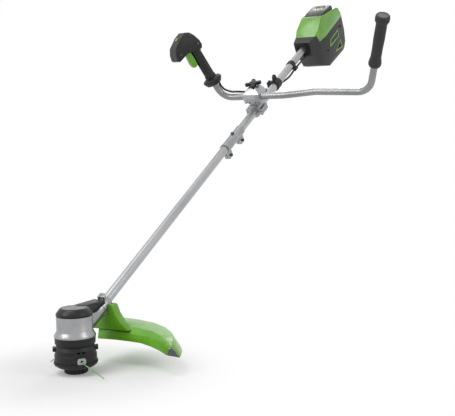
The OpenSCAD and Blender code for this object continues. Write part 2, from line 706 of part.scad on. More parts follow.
// ---- cables, as stations in the shaft frame: across, along, up ----
bar_cable_route = [
  [-123.8, 1160.2, 105], [-122.5, 1160, 100], [-119, 1158, 86], [-108, 1154.5, 73.5],
  [-91, 1151, 67.5], [-76, 1149, 64.5], [-70, 1149, 64.5]
];
shaft_cable_route = [
  [-69.4, 1149, 64.5], [-62, 1149.5, 64], [-52, 1156, 60], [-42, 1168, 52], [-37, 1182, 45],
  [-24, 1190, 37], [-8, 1198, 28], [0, 1216, 18.5], [-6, 1240, 16.5], [-16, 1266, 6.5],
  [-19, 1284, -8], [-17.5, 1297, -14.5], [-17.5, 1327, -14.5], [-11, 1348, -17.5],
  [3, 1372, -19], [12, 1400, -17], [15, 1432, -13.5], [15, 1452, -13.5], [15, 1480, -13.5],
  [14.5, 1520, -15.5], [12.4, 1548, -19.4], [12, 1564, -20], [12, 1584, -20]
];
module bar_cable() color("#232325") along(0) cord(curve(bar_cable_route, 3), cable_d);
module shaft_cable() color("#232325") along(0) cord(curve(shaft_cable_route, 3), cable_d);
module motor_lead() color("#39393b") along(0) translate([0, 0, -tube_id / 2 + lead_d / 2 + 0.2])
  rod(lead_d, seat_at + 2, upper_tube_end - 2);

// ---- hanger and clip ----
boss_x = 24;
boss_z = 2;
eye_z = 26;
eye_r = 5;
module hanger_clamp() color("#242426") along(hanger_at) difference() {
  union() {
    rod(tube_od + 10, -15, 15);
    translate([-3, 0, eye_z]) rotate([0, 90, 0]) cylinder(r = 11, h = 6);
    translate([-3, -12, 12]) cube([6, 24, 12]);
    translate([-boss_x - 6, -9, boss_z - 10]) cube([18, 18, 19]);
  }
  rod(tube_od + 2 * fit, -20, 20);
  translate([0, 0, eye_z]) cross_rod(2 * eye_r, -10, 10);
  translate([-boss_x - 12, -20, boss_z - 2]) cube([boss_x, 40, 2]);
  translate([-boss_x + 1, 0, boss_z - 20]) cylinder(d = 4, h = 40);
}
clip_cable = [15, 0, -13.5];
module cable_clip() color("#242426") along(clip_at) difference() {
  union() {
    rod(tube_od + 5, -9, 9);
    translate(clip_cable) rod(cable_d + 6, -9, 9);
  }
  rod(tube_od + 2 * fit, -20, 20);
  translate(clip_cable) rod(cable_d + 2 * gap, -20, 20);
}

// ---- rear housing: outlines in (along, up) from its front face ----
half_w = housing_w / 2;
top_front = 112;
housing_back = 268;
housing_side = [
  [-12, -27], [2, -33], [14, -54], [35, -90], [81, -116], [235, -128], [250, -120],
  [268, -60], [270, -2], [266, 34], [246, 44], [130, 66], [top_front, 66], [42, 36],
  [30, 31], [-12, 27]
];
housing_plan = [
  [-31, -12], [31, -12], [38, 30], [half_w, 92], [half_w, housing_back + 4],
  [-half_w, housing_back + 4], [-half_w, 92], [-38, 30]
];
housing_end = [
  [-half_w + 7, -130], [half_w - 7, -130], [half_w, -100], [half_w, 12], [half_w - 11, 68],
  [-half_w + 11, 68], [-half_w, 12], [-half_w, -100]
];
upper_side = [
  [52, split_n], [290, split_n], [290, 90], [20, 90], [28, 29], [42, 27]
];
triangle_side = [[147, -94], [222, -107], [217, -72]];
tray_half = pack_w / 2 + gap + tray_wall;
tray_from = bay_from - gap - tray_wall;
tray_to = bay_from + pack_len + gap + tray_wall;

module plan_profile(points) {
  translate([0, 0, -150]) linear_extrude(260) polygon(points);
}
module housing_form(d) intersection() {
  side_profile(inset(housing_side, d), housing_w + 10);
  plan_profile(inset(housing_plan, d));
  end_profile(inset(housing_end, d), -40, 300);
}
module housing_walls() difference() {
  housing_form(0);
  housing_form(shell_wall);
  rod(tube_od + 2 * fit, -30, 60);
  rod(52, -20, 4);
  translate([0, 0, bay_floor]) translate([-tray_half - fit, tray_from - fit, 0])
    cube([2 * (tray_half + fit), tray_to - tray_from + 2 * fit, 150]);
}
module rear_lower_shell() color("#333336") in_housing() difference() {
  housing_walls();
  side_profile(upper_side, 200);
  for (side = [0, 1]) mirror([side, 0, 0]) translate([half_w, 0, 0]) side_profile(triangle_side, 20);
  translate([12, -14, -20]) rod(cable_d + 2 * gap, -1, 60);
}
module rear_upper_shell() color("#6bb125") in_housing() intersection() {
  housing_walls();
  side_profile(upper_side, 200);
}
module nose_collar() color("#1f1f21") in_housing() difference() {
  rod(51.4, -15, 4);
  rod(tube_od + 2 * fit, -30, 60);
  translate([12, 0, -20]) rod(cable_d + 2 * gap, -30, 60);
  rod(44, -16, -8);
}
module side_trims() color("#63a623") in_housing() for (side = [0, 1]) mirror([side, 0, 0]) {
  translate([half_w + 0.6, 0, 0]) difference() {
    side_profile([[112, -55], [206, -55], [212, -30], [128, -30]], 1.2);
    side_profile([[121, -51], [202, -51], [206, -34], [133, -34]], 3);
  }
  translate([half_w - 2, 0, 0]) difference() {
    side_profile(triangle_side, 5);
    side_profile(inset(triangle_side, 4), 8);
  }
}
module shell_screws() color("#5d5e60") in_housing() for (side = [0, 1]) mirror([side, 0, 0])
  for (q = [[95, -60], [240, -30]]) translate([half_w, q.x, q.y]) cross_screw(3.5, 0);

// ---- battery ----
pack_top = bay_floor + tray_wall + pack_h;
pack_floor = bay_floor + tray_wall;
blade_at = [-18, -6, 6, 18];
cell_d = 18;
latch_from = bay_from + 78;
module battery_tray() color("#2b2b2d") in_housing() difference() {
  side_profile([
    [tray_from, bay_floor], [tray_to, bay_floor], [tray_to, 44.5], [tray_from, 64.5]
  ], 2 * tray_half);
  translate([-tray_half + tray_wall, tray_from + tray_wall, pack_floor])
    cube([2 * (tray_half - tray_wall), tray_to - tray_from - 2 * tray_wall, 150]);
  for (x = blade_at) translate([x - 1 - fit, bay_from + 12 - fit, bay_floor - 1])
    cube([2 + 2 * fit, 16 + 2 * fit, 6]);
}
module battery_terminals() color("#b98a3c") in_housing() {
  for (x = blade_at) translate([x - 1, bay_from + 12, bay_floor - 6]) cube([2, 16, 10]);
  translate([-22, bay_from + 9, bay_floor - 4]) cube([44, 22, 4]);
}
module battery_pack() color("#303032") in_housing() difference() {
  side_profile([
    [bay_from, pack_floor], [bay_from + pack_len, pack_floor],
    [bay_from + pack_len, pack_top - 12], [bay_from + pack_len - 10, pack_top - 4],
    [bay_from + 34, pack_top], [bay_from + 4, pack_top - 2], [bay_from, pack_top - 8]
  ], pack_w);
  translate([-pack_w / 2 + 3, bay_from + 3, pack_floor + 3])
    cube([pack_w - 6, pack_len - 6, pack_h - 24]);
  for (x = blade_at) translate([x - 2, bay_from + 10, pack_floor - 2]) cube([4, 20, 14]);
  translate([-15 - gap, latch_from - gap, pack_top - 30])
    cube([30 + 2 * gap, 18 + 2 * gap, 60]);
}
module battery_cells() color("#4d79a6") in_housing() for (x = [-1:1]) for (k = [0:2])
  translate([x * (cell_d + 3), 0, pack_floor + 3.2 + cell_d / 2 + k * (cell_d + 0.2)])
    rod(cell_d, bay_from + 6, bay_from + 76);
module battery_latch() color("#3d3d40") in_housing()
  translate([-15, latch_from, pack_top - 26]) cube([30, 18, 24]);
module control_board() color("#2f6b3c") in_housing() union() {
  translate([-half_w + shell_wall + fit, 96, -45])
    cube([2 * (half_w - shell_wall - fit), 27, 2]);
  translate([-30, 98, -43]) cube([60, 22, 12]);
}

bump_knob();
bump_spring();
spool();
head_lower_cap();
head_body();
line_eyelets();
cutting_lines();
spindle();
rotor();
rotor_magnets();
motor_base_ring();
stator();
windings();
motor_bearings();
motor_housing();
motor_cap();
housing_screws();
guard();
guard_screws();
line_cutter();
lower_tube();
upper_tube();
coupler_sleeve();
coupler_locator();
clamp_screws();
bar_clamp_base();
bar_clamp_strap();
bar_clamp_cap();
clamp_stud();
star_knob();
handlebar();
far_grip();
grip_end_cap();
hand_flange();
control_shell_inner();
control_shell_outer();
control_screws();
microswitch();
trigger();
trigger_pin();
lock_off();
power_button();
bar_cable();
shaft_cable();
hanger_clamp();
cable_clip();
motor_lead();
nose_collar();
rear_lower_shell();
rear_upper_shell();
side_trims();
shell_screws();
battery_tray();
battery_terminals();
control_board();
battery_pack();
battery_cells();
battery_latch();
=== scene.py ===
import json
import math

import bpy
from bpy.props import FloatProperty, FloatVectorProperty, PointerProperty
from bpy.types import Operator, Panel, PropertyGroup
from mathutils import Matrix, Vector


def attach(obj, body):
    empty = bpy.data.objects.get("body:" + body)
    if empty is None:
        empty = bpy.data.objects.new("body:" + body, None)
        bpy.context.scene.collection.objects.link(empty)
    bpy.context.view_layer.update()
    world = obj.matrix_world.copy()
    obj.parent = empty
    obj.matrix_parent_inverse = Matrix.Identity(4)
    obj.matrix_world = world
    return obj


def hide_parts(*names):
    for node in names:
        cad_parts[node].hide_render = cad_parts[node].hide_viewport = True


bl_info = {
    "name": "Brush Cutter Looks",
    "version": (1, 0, 0),
    "blender": (4, 5, 0),
    "location": "View3D > Sidebar > Brush Cutter",
    "description": "Finishes and fine pieces of a battery brush cutter",
    "category": "Object",
}

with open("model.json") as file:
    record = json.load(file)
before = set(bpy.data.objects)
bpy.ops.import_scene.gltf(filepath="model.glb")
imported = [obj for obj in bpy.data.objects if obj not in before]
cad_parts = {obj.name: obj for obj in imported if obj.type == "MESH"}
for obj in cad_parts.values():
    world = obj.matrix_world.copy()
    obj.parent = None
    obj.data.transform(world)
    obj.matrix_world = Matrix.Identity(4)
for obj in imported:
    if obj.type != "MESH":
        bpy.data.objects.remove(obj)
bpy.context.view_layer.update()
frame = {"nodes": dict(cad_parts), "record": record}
NODES = frame["nodes"]

# The driving places, in metres, as the construction has them
SHAFT_TILT = math.radians(30)
AXIS_Z = 0.081
HOUSING_AT = 1.584
HALF_W = 0.05
MOTOR_TOP = 0.143
PACK_TOP = 0.068


# ---- places ----
def along(station):
    """Shaft frame: X across, Y along the shaft to the rear, Z out of its top."""
    return (Matrix.Translation((0, 0, AXIS_Z)) @ Matrix.Rotation(SHAFT_TILT, 4, "X")
            @ Matrix.Translation((0, station, 0)))


def in_housing():
    return along(HOUSING_AT)


# ---- sizes and colours that a user would change ----
class FinishSizes(PropertyGroup):
    """Colours and grain sizes of the finishes."""

    green: FloatVectorProperty(
        name="Green", description="Colour of the guard, the triggers and the upper shell",
        default=(0.135, 0.40, 0.012), size=3, subtype="COLOR", min=0, max=1)
    charcoal: FloatVectorProperty(
        name="Charcoal", description="Colour of the black moulded pieces",
        default=(0.013, 0.013, 0.014), size=3, subtype="COLOR", min=0, max=1)
    silver: FloatVectorProperty(
        name="Silver", description="Colour of the bare aluminium",
        default=(0.37, 0.375, 0.385), size=3, subtype="COLOR", min=0, max=1)
    grain: FloatProperty(
        name="Grain", description="Size of the moulded plastic's grain",
        default=0.0009, unit="LENGTH", min=0.0002, max=0.005, precision=4)
    # Scales the painted highlight on sharp edges as well as the real scuffs of the moulded
    # finishes.
    edge_highlight_and_wear: FloatProperty(
        name="Wear", description="How much the edges and faces are scuffed",
        default=0.35, subtype="FACTOR", min=0, max=1)


class StageSizes(PropertyGroup):
    """Camera, floor and lamps."""

    lens: FloatProperty(
        name="Lens", description="Focal length of the camera",
        default=74.37, subtype="DISTANCE_CAMERA", min=20, max=300)
    camera_at: FloatVectorProperty(
        name="Camera", description="Where the camera stands",
        default=(1.4741, -1.8022, 0.6138), size=3, subtype="TRANSLATION")
    lamp_level: FloatProperty(
        name="Lamp level", description="Strength of all the lamps together",
        default=1.0, min=0, max=5)


# ---- shader maths ----
class Sock:
    """A socket whose Python operators add Math nodes, and whose node() adds any other."""

    def __init__(self, tree, socket):
        self.tree = tree
        self.socket = socket

    def maths(self, operation, *values):
        new = self.tree.nodes.new("ShaderNodeMath")
        new.operation = operation
        for place, value in zip(new.inputs, values):
            if isinstance(value, Sock):
                self.tree.links.new(value.socket, place)
            else:
                place.default_value = value
        return Sock(self.tree, new.outputs[0])

    def __add__(self, other):
        return self.maths("ADD", self, other)

    def __radd__(self, other):
        return self.maths("ADD", other, self)

    def __sub__(self, other):
        return self.maths("SUBTRACT", self, other)

    def __rsub__(self, other):
        return self.maths("SUBTRACT", other, self)

    def __mul__(self, other):
        return self.maths("MULTIPLY", self, other)

    def __rmul__(self, other):
        return self.maths("MULTIPLY", other, self)

    def __gt__(self, other):
        return self.maths("GREATER_THAN", self, other)

    def sine(self):
        return self.maths("SINE", self)

    def clamped(self):
        return self.maths("MINIMUM", self.maths("MAXIMUM", self, 0.0), 1.0)

    def smooth(self, low, high):
        """0 below low, 1 above high, and smooth between them."""
        return self.node("ShaderNodeMapRange", {"interpolation_type": "SMOOTHSTEP"},
                         {"Value": self, "From Min": low, "From Max": high})

    def node(self, kind, settings=None, values=None, out=0):
        new = self.tree.nodes.new(kind)
        for name, value in (settings or {}).items():
            setattr(new, name, value)
        for name, value in (values or {}).items():
            place = new.inputs[name]
            if isinstance(value, Sock):
                self.tree.links.new(value.socket, place)
            else:
                place.default_value = value
        return Sock(self.tree, new.outputs[out])


class Finish:
    """A material under construction, with its shader and its Object coordinates."""

    def __init__(self, name, roughness=0.5, metallic=0.0, coat=0.0, coat_rough=0.1, ior=1.5,
                 place=None):
        self.material = bpy.data.materials.new(name)
        self.material.use_nodes = True
        self.tree = self.material.node_tree
        self.tree.nodes.clear()
        self.shader = self.tree.nodes.new("ShaderNodeBsdfPrincipled")
        output = self.tree.nodes.new("ShaderNodeOutputMaterial")
        self.tree.links.new(self.shader.outputs[0], output.inputs["Surface"])
        for socket, value in (("Roughness", roughness), ("Metallic", metallic),
                              ("Coat Weight", coat), ("Coat Roughness", coat_rough),
                              ("IOR", ior)):
            self.shader.inputs[socket].default_value = value
        coords = self.tree.nodes.new("ShaderNodeTexCoord")
        self.place = Sock(self.tree, coords.outputs["Object"])
        if place is not None:
            self.place = self.in_frame(place)

    def in_frame(self, matrix):
        """The Object coordinates seen in another frame, such as the shaft's."""
        back = matrix.inverted()
        turn = back.to_euler("XYZ")
        return self.place.node("ShaderNodeMapping", None, {
            "Vector": self.place, "Location": back.to_translation(), "Rotation": turn})

    def axes(self):
        split = self.tree.nodes.new("ShaderNodeSeparateXYZ")
        self.tree.links.new(self.place.socket, split.inputs[0])
        return [Sock(self.tree, split.outputs[k]) for k in range(3)]

    def noise(self, size, detail=3.0, rough=0.55, stretch=None):
        """Noise with features about size metres across, from 0 to 1."""
        vector = self.place
        if stretch is not None:
            vector = vector.node("ShaderNodeMapping", None, {"Vector": vector, "Scale": stretch})
        return vector.node("ShaderNodeTexNoise", None, {
            "Vector": vector, "Scale": 1.0 / size, "Detail": detail, "Roughness": rough})

    def cells(self, size):
        """Distance from the middle of cells about size metres across."""
        return self.place.node("ShaderNodeTexVoronoi", {"feature": "F1"}, {
            "Vector": self.place, "Scale": 1.0 / size})

    def mix(self, mask, low, high):
        """A colour that goes from low to high with the mask."""
        new = self.tree.nodes.new("ShaderNodeMix")
        new.data_type = "RGBA"
        for index, value in ((0, mask), (6, low), (7, high)):
            if isinstance(value, Sock):
                self.tree.links.new(value.socket, new.inputs[index])
            elif index:
                new.inputs[index].default_value = (*value, 1.0)
            else:
                new.inputs[index].default_value = value
        return Sock(self.tree, new.outputs[2])

    def edges(self, radius):
        """1 on sharp edges and 0 on flat faces, from the bevelled normal."""
        geometry = self.tree.nodes.new("ShaderNodeNewGeometry")
        flat = Sock(self.tree, geometry.outputs["Normal"])
        soft = flat.node("ShaderNodeBevel", {"samples": 4}, {"Radius": radius})
        turn = flat.node("ShaderNodeVectorMath", {"operation": "DOT_PRODUCT"},
                         {0: flat, 1: soft}, 1)
        return (1.0 - turn).smooth(0.02, 0.16)

    def bump(self, height, distance, strength=1.0):
        new = self.tree.nodes.new("ShaderNodeBump")
        new.inputs["Distance"].default_value = distance
        new.inputs["Strength"].default_value = strength
        self.tree.links.new(height.socket, new.inputs["Height"])
        self.tree.links.new(new.outputs[0], self.shader.inputs["Normal"])

    def feed(self, socket, value):
        self.tree.links.new(value.socket, self.shader.inputs[socket])


def scaled(colour, factor):
    return tuple(min(1.0, c * factor) for c in colour)


def sizes():
    return bpy.context.scene.cutter_finishes


# ---- finishes ----
def moulded(name, colour, roughness=0.5, coat=0.0, edge_highlight_gain=2.0):
    """Injection-moulded plastic with a fine grain, flow marks, scuffs and a painted highlight on
    its sharp edges.
    """
    finish = Finish(name, roughness, coat=coat, coat_rough=0.18, ior=1.38)
    grain = finish.noise(sizes().grain, 2.0)
    cloud = finish.noise(0.05, 3.0)
    scuff = finish.noise(0.012, 5.0, 0.7).smooth(0.56, 0.78)
    base = finish.mix(cloud.smooth(0.3, 0.7), scaled(colour, 0.88), scaled(colour, 1.1))
    # Sharp edges get a painted highlight from the bevelled normal; the scuff noise is real wear.
    # Both lighten the colour.
    edge_highlight_and_scuff = (finish.edges(0.0008) * sizes().edge_highlight_and_wear + scuff * (0.1 * sizes().edge_highlight_and_wear)).clamped()
    highlight_and_scuff_colour = tuple(min(1.0, c * edge_highlight_gain + 0.02) for c in colour)
    finish.feed("Base Color", finish.mix(edge_highlight_and_scuff, base, highlight_and_scuff_colour))
    finish.feed("Roughness", (scuff * 0.1 + grain * 0.12 + (roughness - 0.08)).clamped())
    finish.bump(grain, 0.00012, 0.5)
    return finish.material


def cast_metal(name, colour, roughness=0.38):
    """Die-cast aluminium with fine pits and a painted highlight on its sharp edges."""
    finish = Finish(name, roughness, metallic=0.92)
    fine = finish.noise(0.0012, 3.0, 0.6)
    cloud = finish.noise(0.045, 3.0)
    pits = finish.noise(0.0035, 4.0, 0.6).smooth(0.6, 0.8)
    base = finish.mix(cloud.smooth(0.25, 0.75), scaled(colour, 0.86), scaled(colour, 1.08))
    # Sharp edges are painted lighter: a painted highlight along the edges.
    base = finish.mix(finish.edges(0.0009) * 0.5, base, scaled(colour, 1.45))
    base = finish.mix(pits * 0.25, base, scaled(colour, 0.7))
    finish.feed("Base Color", base)
    finish.feed("Roughness", (fine * 0.22 + cloud * 0.1 + (roughness - 0.16)).clamped())
    finish.bump(fine, 0.00008, 0.45)
    return finish.material


def steel(name, colour, roughness=0.3):
    """Turned and plated steel with fine scratches."""
    finish = Finish(name, roughness, metallic=1.0)
    scratch = finish.noise(0.0008, 2.0, 0.5, (1.0, 1.0, 7.0))
    stain = finish.noise(0.01, 4.0, 0.6)
    base = finish.mix(stain.smooth(0.35, 0.7), scaled(colour, 0.82), scaled(colour, 1.12))
    # Sharp edges are painted lighter: a painted highlight along the edges.
    finish.feed("Base Color", finish.mix(finish.edges(0.0005) * 0.5, base, scaled(colour, 1.5)))
    finish.feed("Roughness", (scratch * 0.25 + stain * 0.12 + (roughness - 0.12)).clamped())
    finish.bump(scratch, 0.00005, 0.4)
    return finish.material


def rubber(name, colour):
    """Soft grip rubber: a dull skin with pores, dust in its creases and a painted highlight on its
    sharp edges.
    """
    finish = Finish(name, 0.7)
    dust = finish.noise(0.02, 4.0, 0.65).smooth(0.45, 0.75)
    base = finish.mix(dust * 0.5, colour, scaled(colour, 1.9))
    # Sharp edges are painted lighter: a painted highlight along the edges.
    finish.feed("Base Color", finish.mix(finish.edges(0.0012) * 0.4, base, scaled(colour, 2.6)))
    finish.feed("Roughness", (dust * 0.14 + 0.58).clamped())
    finish.bump(finish.cells(0.0011), 0.0002, 0.6)
    return finish.material


def brushed_tube(name, colour):
    """Anodised shaft tube: fine draw lines along it and faint handling marks."""
    finish = Finish(name, 0.3, metallic=0.85, coat=0.15, coat_rough=0.2, place=along(0))
    lines = finish.noise(0.0016, 3.0, 0.6, (1.0, 0.03, 1.0))
    cloud = finish.noise(0.08, 3.0, 0.5, (1.0, 0.3, 1.0))
    marks = finish.noise(0.006, 5.0, 0.7).smooth(0.66, 0.8)
    base = finish.mix(cloud.smooth(0.3, 0.7), scaled(colour, 0.9), scaled(colour, 1.08))
    finish.feed("Base Color", finish.mix(marks * 0.2, base, scaled(colour, 0.7)))
    finish.feed("Roughness", (lines * 0.2 + marks * 0.15 + 0.2).clamped())
    finish.bump(lines, 0.00006, 0.4)
    return finish.material


def painted_metal(name, colour):
    """Powder coat on the handlebar: orange peel and small chips."""
    finish = Finish(name, 0.36, metallic=0.55, coat=0.25, coat_rough=0.25)
    peel = finish.noise(0.0025, 2.0)
    cloud = finish.noise(0.07, 3.0)
    chip = finish.noise(0.008, 6.0, 0.75).smooth(0.72, 0.76)
    base = finish.mix(cloud.smooth(0.3, 0.7), scaled(colour, 0.88), scaled(colour, 1.1))
    finish.feed("Base Color", finish.mix(chip * 0.5, base, scaled(colour, 1.6)))
    finish.feed("Roughness", (peel * 0.14 + chip * 0.1 + 0.28).clamped())
    finish.bump(peel, 0.0001, 0.35)
    return finish.material


def cable_skin(name, colour):
    """Extruded cable sheath with a dull sheen and dusty patches."""
    finish = Finish(name, 0.48)
    dust = finish.noise(0.03, 4.0, 0.6).smooth(0.4, 0.75)
    fine = finish.noise(0.001, 2.0)
    finish.feed("Base Color", finish.mix(dust * 0.5, colour, scaled(colour, 2.0)))
    finish.feed("Roughness", (dust * 0.2 + fine * 0.1 + 0.38).clamped())
    finish.bump(fine, 0.00008, 0.4)
    return finish.material


def wire_windings(name, colour):
    """Enamelled copper turns, laid side by side."""
    finish = Finish(name, 0.3, metallic=0.7, coat=0.5, coat_rough=0.1)
    turns = (finish.axes()[2] * (2 * math.pi / 0.0008)).sine()
    tone = finish.noise(0.004, 3.0)
    base = finish.mix(tone, scaled(colour, 0.7), scaled(colour, 1.25))
    # The grooves between the turns are painted dark: painted shade between the wires.
    finish.feed("Base Color", finish.mix(turns.smooth(-1.0, 0.0), scaled(colour, 0.4), base))
    finish.bump(turns, 0.0002, 0.8)
    return finish.material


def laminated(name, colour):
    """A stack of thin steel laminations."""
    finish = Finish(name, 0.42, metallic=0.8)
    sheets = (finish.axes()[2] * (2 * math.pi / 0.001)).sine()
    tone = finish.noise(0.01, 3.0)
    base = finish.mix(tone, scaled(colour, 0.75), scaled(colour, 1.2))
    finish.feed("Base Color", finish.mix(sheets.smooth(-1.0, -0.4), scaled(colour, 0.4), base))
    finish.bump(sheets, 0.0001, 0.6)
    return finish.material


def circuit_board(name):
    """Green solder resist with tinned pads and copper traces."""
    finish = Finish(name, 0.35, coat=0.4, place=in_housing())
    across, deep, _ = finish.axes()
    tracks = (across * (2 * math.pi / 0.004)).sine() * (deep * (2 * math.pi / 0.0055)).sine()
    pads = finish.cells(0.004).smooth(0.22, 0.18)
    base = finish.mix((tracks > 0.25), (0.012, 0.10, 0.03), (0.03, 0.2, 0.07))
    finish.feed("Base Color", finish.mix(pads, base, (0.6, 0.6, 0.58)))
    finish.feed("Metallic", pads * 0.9)
    finish.bump(tracks, 0.0001, 0.5)
    return finish.material


def cell_wrap(name, colour):
    """Shrink film on the battery cells with pale printed bands."""
    finish = Finish(name, 0.28, coat=0.5, place=in_housing())
    band = (finish.axes()[1] * (2 * math.pi / 0.035)).sine().smooth(0.86, 0.92)
    crease = finish.noise(0.003, 3.0)
    base = finish.mix(crease, scaled(colour, 0.8), scaled(colour, 1.15))
    finish.feed("Base Color", finish.mix(band, base, (0.6, 0.62, 0.64)))
    finish.bump(crease, 0.0001, 0.3)
    return finish.material


def cutting_line(name, colour):
    """Extruded nylon line with a twist and a scuffed skin."""
    finish = Finish(name, 0.3, coat=0.3)
    twist = finish.noise(0.002, 2.0, 0.5, (1.0, 1.0, 3.0))
    finish.feed("Base Color", finish.mix(twist, scaled(colour, 0.8), scaled(colour, 1.3)))
    finish.feed("Roughness", (twist * 0.25 + 0.22).clamped())
    finish.bump(twist, 0.0001, 0.4)
    return finish.material


# ---- modelling helpers ----
def body_of(node):
    for body, nodes in frame["record"]["behaviour"]["bodies"].items():
        if node in nodes:
            return body
    raise ValueError(f"no body holds {node}")


def nothing_selected():
    if bpy.context.mode != "OBJECT":
        bpy.ops.object.mode_set(mode="OBJECT")
    bpy.ops.object.select_all(action="DESELECT")


def only(piece):
    nothing_selected()
    piece.select_set(True)
    bpy.context.view_layer.objects.active = piece


def dress(piece, material):
    piece.data.materials.clear()
    piece.data.materials.append(material)


def apply_all(piece):
    only(piece)
    for modifier in list(piece.modifiers):
        bpy.ops.object.modifier_apply(modifier=modifier.name)


def rounded(piece, width, segments=2, angle=35):
    """Rounds every sharp edge, then smooths what is left."""
    bevel = piece.modifiers.new("edges", "BEVEL")
    bevel.width = width
    bevel.segments = segments
    bevel.limit_method = "ANGLE"
    bevel.angle_limit = math.radians(angle)
    bevel.harden_normals = False
    apply_all(piece)
    bpy.ops.object.shade_smooth_by_angle(angle=math.radians(angle))


def finish_piece(piece, node, material, replace=False):
    """Gives a piece its body and finish, which are those of a CAD node."""
    dress(piece, material)
    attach(piece, body_of(node))
    if replace:
        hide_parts(node)
    return piece


def softened(node, material, width, segments=2, angle=35):
    """A copy of a CAD node with its doubles merged and its edges rounded, which replaces it."""
    source = NODES[node]
    piece = bpy.data.objects.new(node + "_moulded", source.data.copy())
    bpy.context.scene.collection.objects.link(piece)
    only(piece)
    if piece.data.has_custom_normals:
        bpy.ops.mesh.customdata_custom_splitnormals_clear()
    bpy.ops.object.mode_set(mode="EDIT")
    bpy.ops.mesh.select_all(action="SELECT")
    bpy.ops.mesh.remove_doubles(threshold=0.00001)
    bpy.ops.mesh.dissolve_limited(angle_limit=math.radians(0.6))
    bpy.ops.object.mode_set(mode="OBJECT")
    rounded(piece, width, segments, angle)
    return finish_piece(piece, node, material, replace=True)


def placed(piece, place):
    """Moves a piece's mesh to its place, so that its object stays at the origin."""
    piece.data.transform(place @ piece.matrix_world)
    piece.matrix_world = Matrix.Identity(4)
    return piece


def block(name, low, high, place, round_by):
    """A box between two corners of a frame, with rounded edges."""
    nothing_selected()
    low, high = Vector(low), Vector(high)
    bpy.ops.mesh.primitive_cube_add(size=1.0, location=(low + high) / 2)
    piece = bpy.context.active_object
    piece.name = name
    piece.dimensions = high - low
    bpy.ops.object.transform_apply(location=True, rotation=True, scale=True)
    rounded(piece, round_by, 3)
    return placed(piece, place)


def plate(name, outline, low, high, place, round_by, corner):
    """An outline in (x, y) with round corners, raised from low to high and rounded."""
    nothing_selected()
    bpy.ops.mesh.primitive_circle_add(vertices=len(outline), radius=1, fill_type="NGON")
    piece = bpy.context.active_object
    piece.name = name
    for vertex, point in zip(piece.data.vertices, outline):
        vertex.co = (point[0], point[1], low)
    bpy.ops.object.mode_set(mode="EDIT")
    bpy.ops.mesh.select_all(action="SELECT")
    bpy.ops.mesh.bevel(offset=corner, segments=4, affect="VERTICES")
    bpy.ops.mesh.select_all(action="SELECT")
    bpy.ops.mesh.extrude_region_move(TRANSFORM_OT_translate={"value": (0, 0, high - low)})
    bpy.ops.mesh.select_all(action="SELECT")
    bpy.ops.mesh.normals_make_consistent(inside=False)
    bpy.ops.object.mode_set(mode="OBJECT")
    rounded(piece, round_by, 3)
    return placed(piece, place)


def turned(name, outline, sides=64):
    """A turned piece: a circle extruded and resized up the radii and heights of an outline."""
    nothing_selected()
    radius, height = outline[0]
    bpy.ops.mesh.primitive_circle_add(vertices=sides, radius=radius, location=(0, 0, height),
                                      fill_type="NGON")
    piece = bpy.context.active_object
    piece.name = name
    bpy.ops.object.mode_set(mode="EDIT")
    bpy.ops.mesh.select_all(action="SELECT")
    for next_radius, next_height in outline[1:]:
        rise = {"value": (0, 0, next_height - height)}
        bpy.ops.mesh.extrude_region_move(TRANSFORM_OT_translate=rise)
        factor = next_radius / radius
        bpy.ops.transform.resize(value=(factor, factor, 1),
                                 center_override=(0, 0, next_height))
        radius, height = next_radius, next_height
    bpy.ops.mesh.select_all(action="SELECT")
    bpy.ops.mesh.remove_doubles(threshold=0.00001)
    bpy.ops.mesh.normals_make_consistent(inside=False)
    bpy.ops.object.mode_set(mode="OBJECT")
    bpy.ops.object.transform_apply(location=True, rotation=True, scale=True)
    bpy.ops.object.shade_smooth_by_angle(angle=math.radians(35))
    return piece


def joined(name, pieces):
    """Joins pieces of one finish into one."""
    nothing_selected()
    for piece in pieces:
        piece.select_set(True)
    bpy.context.view_layer.objects.active = pieces[0]
    bpy.ops.object.join()
    pieces[0].name = name
    return pieces[0]


